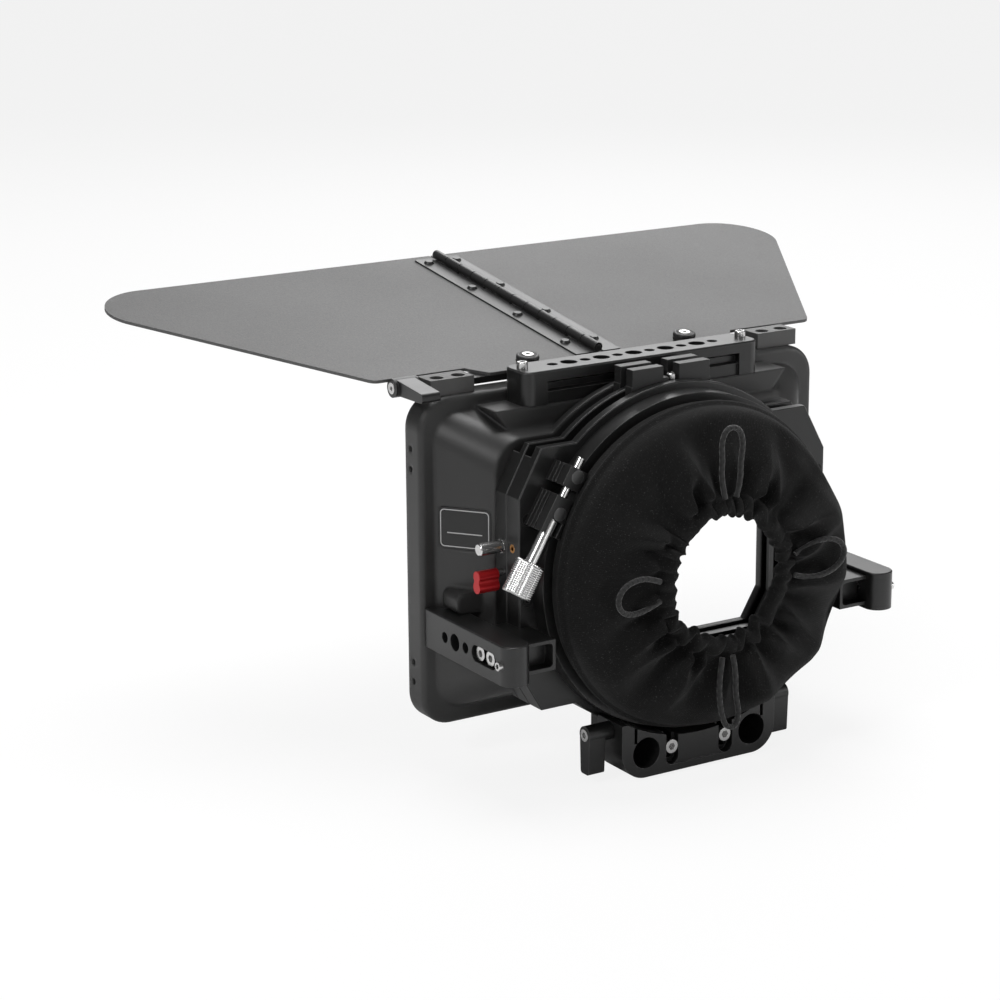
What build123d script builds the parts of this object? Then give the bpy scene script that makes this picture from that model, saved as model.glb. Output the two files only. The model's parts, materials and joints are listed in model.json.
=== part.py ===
from build123d import *
from math import cos, radians, sin, tan
import os

# Rod mounted matte box (a lens shade with filter stages), millimetres, +Z up.
# Origin: centre of the lens opening on the optical axis. +Y looks at the scene, -Y at the camera.

# ---- hood ----
rim_width = 223.0
rim_bottom = -77.0
rim_top = 79.8
rim_front = 58.3
rim_rear = 45.5
rim_radius = 15.0
rim_wall = 3.2
rim_step = 7.0             # the funnel starts this far inside the rim
funnel_rear = 22.0
funnel_low = -58.0
funnel_high = 62.0
hood_wall = 2.8
hood_floor = 4.4           # plate that carries the stages
window_width = 130.4
window_height = 92.8
window_cut_x = 9.0
window_cut_z = 15.0
gusset_ends = (26.0, 82.0) # the gusset's span along the accessory bar
gusset_tip = (62.0, 48.0)
gusset_rear = 28.0
boss_x = 95.0
boss_z = -13.2
boss_front = 40.0
rim_hole_y = 53.8
rim_hole_z = (46.4, 56.0)
m3 = 1.5                   # radii of the small screws' shanks, holes and hex sockets
m3_clear = 1.6
m4 = 2.0
socket_small = 1.2
socket_mid = 1.5
socket_large = 1.8

# ---- filter stages ----
stage_radius = 83.0
cheek_x = 86.0
cheek_low = -42.0
cheek_high = 40.0
shoulder_x = 74.0
shoulder_z = 62.0          # the bevelled shoulders end at this height, above and below
front_stage_rear = 12.4
rear_stage_rear = 1.8
tray_width = 152.0
tray_height = 106.0
tray_low = -54.0
tray_thick = 5.2
tray_neck_low = 40.0
tray_screw_x = 1.6
tray_screw_top = 3.6
tray_screw_depth = 6.0
filter_width = 143.6       # seat for a 4 x 5.65 inch filter
filter_height = 101.8
filter_seat = 2.2
slot_clear = 0.5
slot_height = 160.0        # past the top of the stages, so the slots are open there
ear_top = 90.0
neck_top = 82.0
neck_width = 44.0

# ---- rear clamp and donut ----
ring_bore = 71.5
ring_outer = 79.5
ring_rear = -8.0
lug_angle = 149.04         # degrees from +X towards +Z to the middle of the lugs
lug_reach = 86.2
lug_top = -13.8
lug_bottom = 18.25
lug_rear = -12.0
bolt_reach = 80.3
bolt_y = -8.0
barrel_radius = 3.15
barrel_high = -10.4
barrel_low = 8.0
fit = 0.05                 # radial clearance of a running fit
band_radius = 76.0
hole_radius = 28.0
hem_outer = 37.5
hem_rear = -41.5
cloth_rear = -38.0
cloth = 2.5
hem_wall = 3.6             # from the hem's outside to the middle of its elastic
hem_floor = 3.0
hem_depth = 8.0

# ---- accessory bar ----
bar_length = 132.0
bar_rear = 27.4
bar_depth = 20.2
bar_top = 90.2
bar_bottom = 74.4
bar_pitch = 9.03
bar_holes = 11
small_thread = 5.1         # 1/4-20 tapping hole
large_thread = 8.0         # 3/8-16 tapping hole
bar_screw_x = 61.5
bar_screw_radius = 2.6
bar_screw_top = 3.2        # the screws stand this far above the bar
bar_screw_depth = 7.0
rail_half = 54.0
rail_depth = 3.6
rail_lip = 1.4

# ---- top flag ----
pivot_y = 60.3
pivot_z = 83.6
flag_tilt = 8.0
sheet_low = 1.2            # height of the sheet's underside over the pivot
sheet_thick = 1.5
flag_rear_half = 123.7
flag_front_half = (217.8, 212.3)  # the left half reaches further, as its hinge is off centre
flag_rear_edge = 4.9
flag_front_edge = 158.9
tab_half = 68.0
tab_rear = -4.6
hinge_height = 5.4
knuckle_radius = 2.3
hinge_x = -4.5             # the hinge and the seam lie this far left of centre
hinge_start = 0.5
hinge_length = 152.5
knuckles = 12
thumb_x = 44.6
thumb_radius = 5.6
thumb_base = 0.1           # gap under the knobs
thumb_height = 4.4
thumb_recess = 1.8
thumb_floor = thumb_base + thumb_height - thumb_recess
thumb_head = 2.7
block_inner = 80.5
block_outer = 103.5
block_rear = 48.5
trunnion = 2.0
lever_outer = -117.0
lever_inner = -104.3
trunnion_end = -115.0

# ---- side bars ----
side_outer = 110.0
side_inner = 96.0
side_front = 44.9
side_back = -27.0
side_low = -36.6
side_high = -18.2
side_mid = (side_low + side_high) / 2
side_holes = ((27.6, small_thread), (18.7, large_thread), (9.5, small_thread))
slot_front = 4.2
slot_rear = -17.0
bolt_places = (-0.9, -9.5)
arm_rear = -20.0
arm_front = 12.2
arm_inner = 80.6
arm_low = -34.5
arm_high = -20.2
set_screw_y = -20.4
slot_width = 7.8
slot_depth_x = 6.0         # depth of the wide part of the slot
slot_floor_width = 4.4
bolt_head = 3.5
bolt_recess = 1.6          # from the bar's face to the bolt heads
bolt_reach_in = 9.0

# ---- rod clamp ----
rod_x = 30.0
rod_z = -85.0
rod_radius = 7.5
clamp_half = 43.5
clamp_rear = -18.9
clamp_front = 1.5
clamp_low = -97.0
clamp_high = -69.6
lever_y = -8.0
lever_z = -74.4
stud_radius = 1.8
stud_end = 33.7
height_x = 15.2
slit_x = 35.9
slit_width = 1.8
screw_seat = -14.5         # face that the height screws bear on
lever_outer_x = 57.0
lever_head = 2.9
lever_length = 19.0

sides = (("left", -1), ("right", 1))

os.makedirs("parts", exist_ok=True)


def frontal(y):
    """Plane facing the camera side at a given Y: its axes are X and Z, it extrudes towards -Y."""
    return Plane(origin=(0, y, 0), x_dir=(1, 0, 0), z_dir=(0, -1, 0))


def lug_plane(y):
    """Frontal plane turned so that its x runs out through the lugs and its y along the clamp screw."""
    out = (cos(radians(lug_angle)), 0, sin(radians(lug_angle)))
    return Plane(origin=(0, y, 0), x_dir=out, z_dir=(0, -1, 0))


def side_plane(x):
    """Plane across X: its axes are Y and Z, it extrudes towards +X."""
    return Plane(origin=(x, 0, 0), x_dir=(0, 1, 0), z_dir=(1, 0, 0))


def cut_rectangle(width, height, cut_x, cut_z):
    """Rectangle with bevelled corners, drawn into the sketch that is open."""
    x, z = width / 2, height / 2
    return Polygon(
        (x - cut_x, -z), (x, -z + cut_z), (x, z - cut_z), (x - cut_x, z),
        (-x + cut_x, z), (-x, z - cut_z), (-x, -z + cut_z), (-x + cut_x, -z),
        align=None,
    )


def stage_outline():
    """Round body with a cheek on each side, drawn into the sketch that is open."""
    Circle(stage_radius)
    Polygon(
        (cheek_x, cheek_low), (cheek_x, cheek_high), (shoulder_x, shoulder_z),
        (-shoulder_x, shoulder_z), (-cheek_x, cheek_high), (-cheek_x, cheek_low),
        (-shoulder_x, -shoulder_z), (shoulder_x, -shoulder_z),
        align=None,
    )


def save(builder, name):
    """Label a finished piece and write it to its own file."""
    builder.part.label = name
    export_step(builder.part, f"parts/{name}.step")


# Hood: a deep rim, a funnel down to the stages and a floor with the lens window.
rim_height = rim_top - rim_bottom
rim_mid = (rim_top + rim_bottom) / 2
funnel_height = funnel_high - funnel_low
funnel_mid = (funnel_high + funnel_low) / 2
block_mid = (block_inner + block_outer) / 2
block_screw_y = 53.2
block_screws_x = (block_mid - 5.6, block_mid + 5.6)
stage_screw_x = 81.3
stage_screw_z = (-8.0, 30.0)
side_slope = Vector(rim_width / 2 - rim_step - cheek_x, funnel_rear - rim_rear, 0).normalized()
badge_plane = Plane(
    origin=(-(rim_width / 2 - rim_step + cheek_x) / 2, (rim_rear + funnel_rear) / 2, 20),
    x_dir=side_slope,
    z_dir=(side_slope.Y, -side_slope.X, 0),
)
badge_width = 26.0
badge_height = 20.0
badge_depth = 0.9

with BuildPart() as hood_shell:
    with BuildSketch(frontal(rim_front)):
        with Locations((0, rim_mid)):
            RectangleRounded(rim_width, rim_height, rim_radius)
    extrude(amount=rim_front - rim_rear)
    fillet(hood_shell.faces().sort_by(Axis.Y)[0].edges(), 2.0)
    with BuildSketch(frontal(rim_rear + 1)):
        with Locations((0, rim_mid)):
            RectangleRounded(rim_width - 2 * rim_step, rim_height - 2 * rim_step, rim_radius - 2)
    with BuildSketch(frontal(funnel_rear)):
        with Locations((0, funnel_mid)):
            RectangleRounded(2 * cheek_x, funnel_height, rim_radius)
    loft()
    with BuildSketch(frontal(funnel_rear + hood_floor)):
        stage_outline()
    extrude(amount=hood_floor)
    for side in (-1, 1):
        # rounded triangular gusset that carries one end of the accessory bar
        with BuildSketch(frontal(rim_rear)) as gusset:
            Polygon(
                (side * gusset_ends[1], bar_bottom), (side * gusset_ends[0], bar_bottom),
                (side * gusset_tip[0], gusset_tip[1]), align=None,
            )
            fillet(gusset.vertices().sort_by(Axis.Y)[0], 9)
        extrude(amount=rim_rear - gusset_rear)
        # boss over the side bar
        with BuildSketch(frontal(boss_front)):
            with Locations((side * boss_x, boss_z)):
                RectangleRounded(17, 9.6, 3)
        extrude(amount=13)
    # the pockets inside
    with BuildSketch(frontal(rim_front)):
        with Locations((0, rim_mid)):
            RectangleRounded(rim_width - 2 * rim_wall, rim_height - 2 * rim_wall, rim_radius - rim_wall)
    extrude(amount=rim_front - rim_rear - hood_wall, mode=Mode.SUBTRACT)
    with BuildSketch(frontal(rim_rear + hood_wall)):
        with Locations((0, rim_mid)):
            RectangleRounded(
                rim_width - 2 * (rim_step + hood_wall), rim_height - 2 * (rim_step + hood_wall), 10)
    with BuildSketch(frontal(funnel_rear + hood_floor)):
        with Locations((0, funnel_mid)):
            RectangleRounded(2 * cheek_x - 12, funnel_height - 12, 10)
    loft(mode=Mode.SUBTRACT)
    with BuildSketch(frontal(funnel_rear + hood_floor)):
        cut_rectangle(window_width, window_height, window_cut_x, window_cut_z)
    extrude(amount=hood_floor, mode=Mode.SUBTRACT)
    # badge pocket, mounting holes in the rim, screw holes
    with BuildSketch(badge_plane):
        RectangleRounded(badge_width, badge_height, 2.6)
    extrude(amount=-badge_depth, mode=Mode.SUBTRACT)
    with BuildSketch(side_plane(-rim_width / 2)):
        with Locations(*[(rim_hole_y, s * z) for s in (-1, 1) for z in rim_hole_z]):
            Circle(m3)
    extrude(amount=rim_width, mode=Mode.SUBTRACT)
    with BuildSketch(Plane.XY.offset(rim_top)):
        with Locations(*[(s * x, block_screw_y) for s in (-1, 1) for x in block_screws_x]):
            Circle(m3)
    extrude(amount=-rim_wall, mode=Mode.SUBTRACT)
    with BuildSketch(frontal(funnel_rear + hood_floor - 1)):
        with Locations(*[(s * stage_screw_x, z) for s in (-1, 1) for z in stage_screw_z]):
            Circle(m3)
    extrude(amount=hood_floor - 1, mode=Mode.SUBTRACT)
    with BuildSketch(Plane.XY.offset(bar_bottom)):
        with Locations(*[(s * bar_screw_x, bar_rear + bar_depth / 2) for s in (-1, 1)]):
            Circle(bar_screw_radius)
    extrude(amount=-bar_screw_depth - 1, mode=Mode.SUBTRACT)
save(hood_shell, "hood_shell")

with BuildPart() as badge_plate:
    with BuildSketch(badge_plane.offset(-badge_depth)):
        RectangleRounded(badge_width - 0.4, badge_height - 0.4, 2.4)
    extrude(amount=0.7)
save(badge_plate, "badge_plate")

# Stages: the trays drop in from the top; each slot is closed in front by its neighbour.
slot_half = tray_width / 2 + slot_clear
slot_depth = tray_thick + 2 * slot_clear
plunger_y = 16.5
plunger_z = 15.0
bush_radius = 3.4
lock_y = 15.5
lock_z = 3.0
lock_shaft_radius = 1.6
insert_y = 7.6
insert_z = 15.8
insert_radius = 2.0
insert_depth = 6.0
head_depth = 3.0

with BuildPart() as front_stage:
    with BuildSketch(frontal(funnel_rear)):
        stage_outline()
    extrude(amount=funnel_rear - front_stage_rear)
    chamfer(front_stage.faces().sort_by(Axis.Y)[0].edges(), 0.5)
    chamfer(front_stage.faces().sort_by(Axis.Y)[-1].edges(), 0.5)
    with BuildSketch(frontal(funnel_rear)):
        with Locations((0, tray_low - slot_clear)):
            Rectangle(2 * slot_half, slot_height, align=(Align.CENTER, Align.MIN))
    extrude(amount=slot_depth, mode=Mode.SUBTRACT)
    with BuildSketch(frontal(funnel_rear)):
        cut_rectangle(window_width, window_height, window_cut_x, window_cut_z)
    extrude(amount=funnel_rear - front_stage_rear, mode=Mode.SUBTRACT)
    with BuildSketch(side_plane(-cheek_x)):
        with Locations((plunger_y, plunger_z)):
            Circle(bush_radius)
        with Locations((lock_y, lock_z)):
            Circle(lock_shaft_radius + fit)
    extrude(amount=cheek_x - slot_half, mode=Mode.SUBTRACT)
    with BuildSketch(frontal(funnel_rear)):
        with Locations(*[(s * stage_screw_x, z) for s in (-1, 1) for z in stage_screw_z]):
            Circle(m3_clear)
    extrude(amount=funnel_rear - front_stage_rear, mode=Mode.SUBTRACT)
save(front_stage, "front_stage")

with BuildPart() as rear_stage:
    with BuildSketch(frontal(front_stage_rear)):
        stage_outline()
    extrude(amount=front_stage_rear - rear_stage_rear)
    chamfer(rear_stage.faces().sort_by(Axis.Y)[0].edges(), 0.5)
    chamfer(rear_stage.faces().sort_by(Axis.Y)[-1].edges(), 0.5)
    with BuildSketch(frontal(front_stage_rear)):
        with Locations((0, tray_low - slot_clear)):
            Rectangle(2 * slot_half, slot_height, align=(Align.CENTER, Align.MIN))
    extrude(amount=slot_depth, mode=Mode.SUBTRACT)
    with BuildSketch(frontal(front_stage_rear)):
        cut_rectangle(window_width, window_height, window_cut_x, window_cut_z)
    extrude(amount=front_stage_rear - rear_stage_rear, mode=Mode.SUBTRACT)
    with BuildSketch(side_plane(-cheek_x)):
        with Locations((insert_y, insert_z)):
            Circle(insert_radius)
    extrude(amount=insert_depth, mode=Mode.SUBTRACT)
    with BuildSketch(side_plane(cheek_x)):
        with Locations((insert_y, insert_z)):
            Circle(insert_radius)
    extrude(amount=-insert_depth, mode=Mode.SUBTRACT)
    with BuildSketch(frontal(front_stage_rear)):
        with Locations(*[(s * stage_screw_x, z) for s in (-1, 1) for z in stage_screw_z]):
            Circle(m3_clear)
    extrude(amount=front_stage_rear - rear_stage_rear, mode=Mode.SUBTRACT)
    with BuildSketch(frontal(rear_stage_rear + head_depth)):
        with Locations(*[(s * stage_screw_x, z) for s in (-1, 1) for z in stage_screw_z]):
            Circle(2.9)
    extrude(amount=head_depth, mode=Mode.SUBTRACT)
save(rear_stage, "rear_stage")

with BuildPart() as stage_screws:
    with BuildSketch(frontal(rear_stage_rear + head_depth)):
        with Locations(*[(s * stage_screw_x, z) for s in (-1, 1) for z in stage_screw_z]):
            Circle(2.75)
    extrude(amount=head_depth - 0.2)
    with BuildSketch(frontal(funnel_rear + hood_floor - 1)):
        with Locations(*[(s * stage_screw_x, z) for s in (-1, 1) for z in stage_screw_z]):
            Circle(m3)
    extrude(amount=funnel_rear + hood_floor - 1 - rear_stage_rear - head_depth)
    with BuildSketch(frontal(rear_stage_rear + 0.2)):
        with Locations(*[(s * stage_screw_x, z) for s in (-1, 1) for z in stage_screw_z]):
            RegularPolygon(1.4, 6)
    extrude(amount=-1.6, mode=Mode.SUBTRACT)
save(stage_screws, "stage_screws")

with BuildPart() as brass_inserts:
    for side in (-1, 1):
        with BuildSketch(side_plane(side * (cheek_x - insert_depth))):
            with Locations((insert_y, insert_z)):
                Circle(insert_radius)
                Circle(insert_radius / 2, mode=Mode.SUBTRACT)
        extrude(amount=side * insert_depth)
save(brass_inserts, "brass_inserts")

# Filter trays with a finger tab each: a neck, two ears and a lock screw between them.
for name, tray_front in (("front", funnel_rear - slot_clear), ("rear", front_stage_rear - slot_clear)):
    with BuildPart() as filter_tray:
        with BuildSketch(frontal(tray_front)) as tray_sketch:
            with Locations((0, tray_low + tray_height / 2)):
                RectangleRounded(tray_width, tray_height, 3)
            with Locations((0, neck_top)):
                Rectangle(neck_width, neck_top - tray_neck_low, align=(Align.CENTER, Align.MAX))
            with Locations((-neck_width / 4 - 2, ear_top), (neck_width / 4 + 2, ear_top)):
                Rectangle(neck_width / 2 - 5, ear_top - neck_top + 1, align=(Align.CENTER, Align.MAX))
            with Locations((-4, neck_top + 2.5)):
                Rectangle(5, 3.5, align=(Align.CENTER, Align.MAX))
        extrude(amount=tray_thick)
        with BuildSketch(frontal(tray_front)):
            cut_rectangle(window_width + 2, window_height + 2, window_cut_x, window_cut_z)
        extrude(amount=tray_thick, mode=Mode.SUBTRACT)
        # seat for the filter glass in the tray's front face
        with BuildSketch(frontal(tray_front)):
            Rectangle(filter_width, filter_height)
        extrude(amount=filter_seat, mode=Mode.SUBTRACT)
        with BuildSketch(Plane.XY.offset(neck_top)):
            with Locations((tray_screw_x, tray_front - tray_thick / 2)):
                Circle(1.1)
        extrude(amount=-tray_screw_depth, mode=Mode.SUBTRACT)
    save(filter_tray, f"filter_tray_{name}")

    with BuildPart() as tray_screw:
        with BuildSketch(Plane.XY.offset(neck_top)):
            with Locations((tray_screw_x, tray_front - tray_thick / 2)):
                Circle(2.1)
        extrude(amount=tray_screw_top)
        chamfer(tray_screw.faces().sort_by(Axis.Z)[-1].edges(), 0.4)
        with BuildSketch(Plane.XY.offset(neck_top + tray_screw_top)):
            with Locations((tray_screw_x, tray_front - tray_thick / 2)):
                RegularPolygon(1.1, 6)
        extrude(amount=-2, mode=Mode.SUBTRACT)
        with BuildSketch(Plane.XY.offset(neck_top - tray_screw_depth)):
            with Locations((tray_screw_x, tray_front - tray_thick / 2)):
                Circle(1.1)
        extrude(amount=tray_screw_depth)
    save(tray_screw, f"tray_screw_{name}")

# Clamp ring: a split ring behind the stages, drawn shut by a screw through two barrels.
out_dir = Vector(cos(radians(lug_angle)), 0, sin(radians(lug_angle)))
along = Vector(-sin(radians(lug_angle)), 0, cos(radians(lug_angle)))


def screw_plane(t):
    """Plane across the clamp screw at a distance t along it, extruding towards the knob."""
    origin = out_dir * bolt_reach + along * t + Vector(0, bolt_y, 0)
    return Plane(origin=origin, x_dir=(0, 1, 0), z_dir=along)


shank_radius = 2.0
shaft_radius = 3.0
shaft_start = 11.6
knob_start = 33.0
knob_length = 16.0
knob_radius = 7.0
shank_end = -19.0
split = (-4.2, 0.4)        # the split's two faces, along the clamp screw
lug_root = 68.0

with BuildPart() as clamp_ring:
    with BuildSketch(frontal(rear_stage_rear)):
        Circle(ring_outer)
    extrude(amount=rear_stage_rear - ring_rear)
    with BuildSketch(lug_plane(rear_stage_rear)):
        Polygon(
            (lug_root, lug_top), (lug_reach, lug_top), (lug_reach, lug_bottom), (lug_root, lug_bottom),
            align=None,
        )
    extrude(amount=rear_stage_rear - lug_rear)
    with BuildSketch(frontal(rear_stage_rear)):
        Circle(ring_bore)
    extrude(amount=rear_stage_rear - lug_rear, mode=Mode.SUBTRACT)
    with BuildSketch(frontal(ring_rear)):
        Circle(band_radius + 0.9)
    extrude(amount=ring_rear - lug_rear, mode=Mode.SUBTRACT)
    # the split
    with BuildSketch(lug_plane(rear_stage_rear)):
        Polygon((60, split[0]), (90, split[0]), (90, split[1]), (60, split[1]), align=None)
    extrude(amount=rear_stage_rear - lug_rear, mode=Mode.SUBTRACT)
    # cross holes for the barrels, then the screw's hole and its open slot
    with BuildSketch(lug_plane(-2)):
        with Locations((bolt_reach, barrel_high), (bolt_reach, barrel_low)):
            Circle(barrel_radius)
    extrude(amount=-2 - lug_rear, mode=Mode.SUBTRACT)
    with BuildSketch(screw_plane(lug_top)):
        Circle(shank_radius + 0.2)
    extrude(amount=lug_bottom - lug_top, mode=Mode.SUBTRACT)
    with BuildSketch(screw_plane(shaft_start - 0.4)):
        Circle(shaft_radius + 0.4)
        with Locations((-6, 0)):
            Rectangle(12, 2 * shaft_radius + 0.8)
    extrude(amount=lug_bottom - shaft_start + 1, mode=Mode.SUBTRACT)
    # grip grooves along the outer faces of the lugs
    for groove_y in (-0.4, -3.2, -6.0):
        with BuildSketch(lug_plane(groove_y)):
            Polygon(
                (lug_reach - 0.7, lug_top - 1), (lug_reach + 1, lug_top - 1),
                (lug_reach + 1, lug_bottom + 1), (lug_reach - 0.7, lug_bottom + 1),
                align=None,
            )
        extrude(amount=0.8, mode=Mode.SUBTRACT)
save(clamp_ring, "clamp_ring")

for name, barrel_t in (("upper", barrel_high), ("lower", barrel_low)):
    with BuildPart() as clamp_barrel:
        with BuildSketch(lug_plane(-2.2)):
            with Locations((bolt_reach, barrel_t)):
                Circle(barrel_radius)
        extrude(amount=-2.2 - lug_rear)
        with BuildSketch(screw_plane(barrel_t - 5)):
            Circle(shank_radius + fit)
        extrude(amount=10, mode=Mode.SUBTRACT)
    save(clamp_barrel, f"clamp_barrel_{name}")

with BuildPart() as clamp_screw:
    with BuildSketch(screw_plane(shank_end)):
        Circle(shank_radius)
    extrude(amount=shaft_start - shank_end)
    with BuildSketch(screw_plane(shaft_start)):
        Circle(shaft_radius)
    extrude(amount=knob_start + knob_length - 2 - shaft_start)
save(clamp_screw, "clamp_screw")

with BuildPart() as clamp_knob:
    with BuildSketch(screw_plane(knob_start)):
        Circle(knob_radius)
    extrude(amount=knob_length)
    chamfer(clamp_knob.edges().filter_by(GeomType.CIRCLE), 0.8)
    with BuildSketch(screw_plane(knob_start)):
        Circle(shaft_radius)
    extrude(amount=knob_length - 2, mode=Mode.SUBTRACT)
save(clamp_knob, "clamp_knob")

# Donut: a ring gripped by the clamp, and a gathered cloth that closes on the lens.
donut_bore = 66.0
donut_front = 1.5
donut_rear = -15.6
with BuildPart() as donut_ring:
    with BuildSketch(Plane.XY):
        Polygon(
            (donut_bore, donut_front), (ring_bore - fit, donut_front),
            (ring_bore - fit, donut_rear), (donut_bore, donut_rear), align=None,
        )
    revolve(axis=Axis.Y)
save(donut_ring, "donut_ring")

elastic_radius = 1.9
elastic_x = hem_outer - hem_wall
with BuildPart() as donut_fabric:
    with BuildSketch(Plane.XY):
        with BuildLine():
            outer = Polyline((ring_bore, -16), (ring_bore, -8.3), (band_radius, -8.3), (band_radius, -15.5))
            bulge = Spline(outer @ 1, (80.0, -23.5), (76.5, -32.0), (66.0, cloth_rear),
                           tangents=[(0.5, -1), (-1, 0)])
            hem = Polyline(
                bulge @ 1, (hem_outer, cloth_rear), (hem_outer, hem_rear), (hole_radius, hem_rear),
                (hole_radius, hem_rear + hem_depth), (elastic_x - elastic_radius, hem_rear + hem_depth),
                (elastic_x - elastic_radius, hem_rear + hem_floor),
                (elastic_x + elastic_radius, hem_rear + hem_floor),
                (elastic_x + elastic_radius, cloth_rear + cloth), (65.0, cloth_rear + cloth),
            )
            lining = Spline(hem @ 1, (74.6, -30.4), (77.2, -23.6), (band_radius - cloth, -17.5),
                            tangents=[(1, 0), (-0.6, 1)])
            Line(lining @ 1, outer @ 0)
        make_face()
    revolve(axis=Axis.Y)
save(donut_fabric, "donut_fabric")

with BuildPart() as donut_elastic:
    with BuildSketch(Plane.XY):
        with Locations((elastic_x, hem_rear + hem_floor + elastic_radius + fit)):
            Circle(elastic_radius - fit)
    revolve(axis=Axis.Y)
save(donut_elastic, "donut_elastic")

# Pull loops: limp cord sewn into the hem. Points are (outwards, sideways, Y).
cord_radius = 1.3
sewn = hem_outer + 0.1     # where the loops meet the hem
loop_points = {
    "top": (0, 1, [
        (sewn, -3.5, -39.8), (45, -5.6, -40.0), (54, -5.0, -40.6), (63, -6.0, -41.2),
        (70, -3.4, -41.4), (71, 3.0, -41.4), (65, 6.2, -41.2), (56, 5.0, -40.6),
        (47, 5.2, -40.0), (sewn, 2.6, -39.8)]),
    "right": (1, 0, [
        (sewn, -5.0, -39.8), (45, -7.4, -40.0), (54, -7.2, -40.6), (62, -4.0, -41.2),
        (66, 2.0, -41.4), (63, 8.0, -41.2), (55, 10.4, -40.6), (46, 8.6, -40.0),
        (sewn, 5.2, -39.8)]),
    "bottom": (0, -1, [
        (sewn, -2.8, -39.8), (46, -4.2, -40.0), (55, -5.0, -40.6), (64, -4.0, -41.2),
        (71, -1.6, -41.4), (72, 4.2, -41.4), (65, 6.0, -41.2), (56, 4.2, -40.6),
        (46, 4.8, -40.0), (sewn, 3.0, -39.8)]),
    "left": (-1, 0, [
        (sewn, -4.4, -39.8), (44, -7.2, -40.0), (52, -7.6, -40.6), (59, -5.0, -41.2),
        (62, 1.0, -41.4), (59, 6.6, -41.2), (52, 8.4, -40.6), (44, 7.0, -40.0),
        (sewn, 4.6, -39.8)]),
}


def bend_radius(before, corner, after):
    """Largest arc at a corner that keeps to 0.45 of the shorter run."""
    run_in = corner - before
    run_out = after - corner
    half_turn = radians(run_in.get_angle(run_out)) / 2
    return 0.45 * min(run_in.length, run_out.length) / tan(half_turn)


for name, (dir_x, dir_z, points) in loop_points.items():
    route = [Vector(u * dir_x - v * dir_z, y, u * dir_z + v * dir_x) for u, v, y in points]
    bends = [bend_radius(*route[i:i + 3]) for i in range(len(route) - 2)]
    print(name, "loop radii", [round(r, 1) for r in bends])
    with BuildPart() as pull_loop:
        with BuildLine() as loop_line:
            FilletPolyline(*route, radius=bends)
        with BuildSketch(Plane(origin=route[0], z_dir=route[1] - route[0])):
            Circle(cord_radius)
        sweep(path=loop_line.wires()[0])
    loop_length = loop_line.wires()[0].length
    print(name, "loop length", round(loop_length, 1), "volume", round(pull_loop.part.volume, 1))
    save(pull_loop, f"pull_loop_{name}")

# Accessory bar: a row of camera threads over a clamp groove.
with BuildPart() as accessory_bar:
    with BuildSketch(Plane.XY.offset(bar_bottom)):
        with Locations((0, bar_rear)):
            RectangleRounded(bar_length, bar_depth, 5.5, align=(Align.CENTER, Align.MIN))
    extrude(amount=bar_top - bar_bottom)
    chamfer(accessory_bar.faces().sort_by(Axis.Z)[-1].edges(), 0.7)
    for rail_y in (bar_rear, bar_rear + bar_depth):
        inward = 1 if rail_y == bar_rear else -1
        with BuildSketch(side_plane(-rail_half)):
            Polygon(
                (rail_y - inward, 79.6), (rail_y + inward * rail_depth, 80.8),
                (rail_y + inward * rail_depth, 83.6), (rail_y - inward, 85.6), align=None,
            )
            Polygon(
                (rail_y - inward, bar_bottom), (rail_y + inward * rail_lip, bar_bottom),
                (rail_y + inward * rail_lip, 80.0), (rail_y - inward, 80.0), align=None,
            )
        extrude(amount=2 * rail_half, mode=Mode.SUBTRACT)
    for i in range(bar_holes):
        thread = small_thread if i % 2 == 0 else large_thread
        with BuildSketch(Plane.XY.offset(bar_top)):
            with Locations(((i - (bar_holes - 1) / 2) * bar_pitch, bar_rear + bar_depth / 2)):
                Circle(thread / 2)
        extrude(amount=bar_bottom - bar_top, mode=Mode.SUBTRACT)
    with BuildSketch(Plane.XY.offset(bar_top)):
        with Locations(*[(s * bar_screw_x, bar_rear + bar_depth / 2) for s in (-1, 1)]):
            Circle(bar_screw_radius)
    extrude(amount=bar_bottom - bar_top, mode=Mode.SUBTRACT)
    # clearance over the rim, which stands higher than the bar's foot
    with BuildSketch(Plane.XY.offset(bar_bottom)):
        with Locations((0, rim_rear - 0.4)):
            Rectangle(bar_length, 10, align=(Align.CENTER, Align.MIN))
    extrude(amount=rim_top - bar_bottom + 0.2, mode=Mode.SUBTRACT)
save(accessory_bar, "accessory_bar")

with BuildPart() as bar_screws:
    with BuildSketch(Plane.XY.offset(bar_bottom - bar_screw_depth)):
        with Locations(*[(s * bar_screw_x, bar_rear + bar_depth / 2) for s in (-1, 1)]):
            Circle(bar_screw_radius)
    extrude(amount=bar_top + bar_screw_top - bar_bottom + bar_screw_depth)
    chamfer(bar_screws.faces().group_by(Axis.Z)[-1].edges(), 0.4)
    with BuildSketch(Plane.XY.offset(bar_top + bar_screw_top)):
        with Locations(*[(s * bar_screw_x, bar_rear + bar_depth / 2) for s in (-1, 1)]):
            RegularPolygon(socket_mid, 6)
    extrude(amount=-2.4, mode=Mode.SUBTRACT)
save(bar_screws, "bar_screws")

# Top flag: two sheets joined by a long hinge, carried on a bar that turns between two blocks.
tilt = radians(flag_tilt)
flag_plane = Plane(origin=(0, pivot_y, pivot_z), x_dir=(1, 0, 0), z_dir=(0, -sin(tilt), cos(tilt)))
sheet_top = sheet_low + sheet_thick
leaf_thick = 0.8
leaf_width = 12.5
rivet_x = 8.2
rivet_y = (17.0, 60.0, 103.0, 146.0)
carrier_rear = -4.4
carrier_front = 2.9
carrier_low = -2.0
carrier_half = 79.8
pitch = hinge_length / knuckles
knuckle_gap = 0.6
pin_radius = 1.2
rivet_radius = 1.2
rivet_head = 2.6
rivet_height = 1.3
pivot_thread = 1.2

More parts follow.
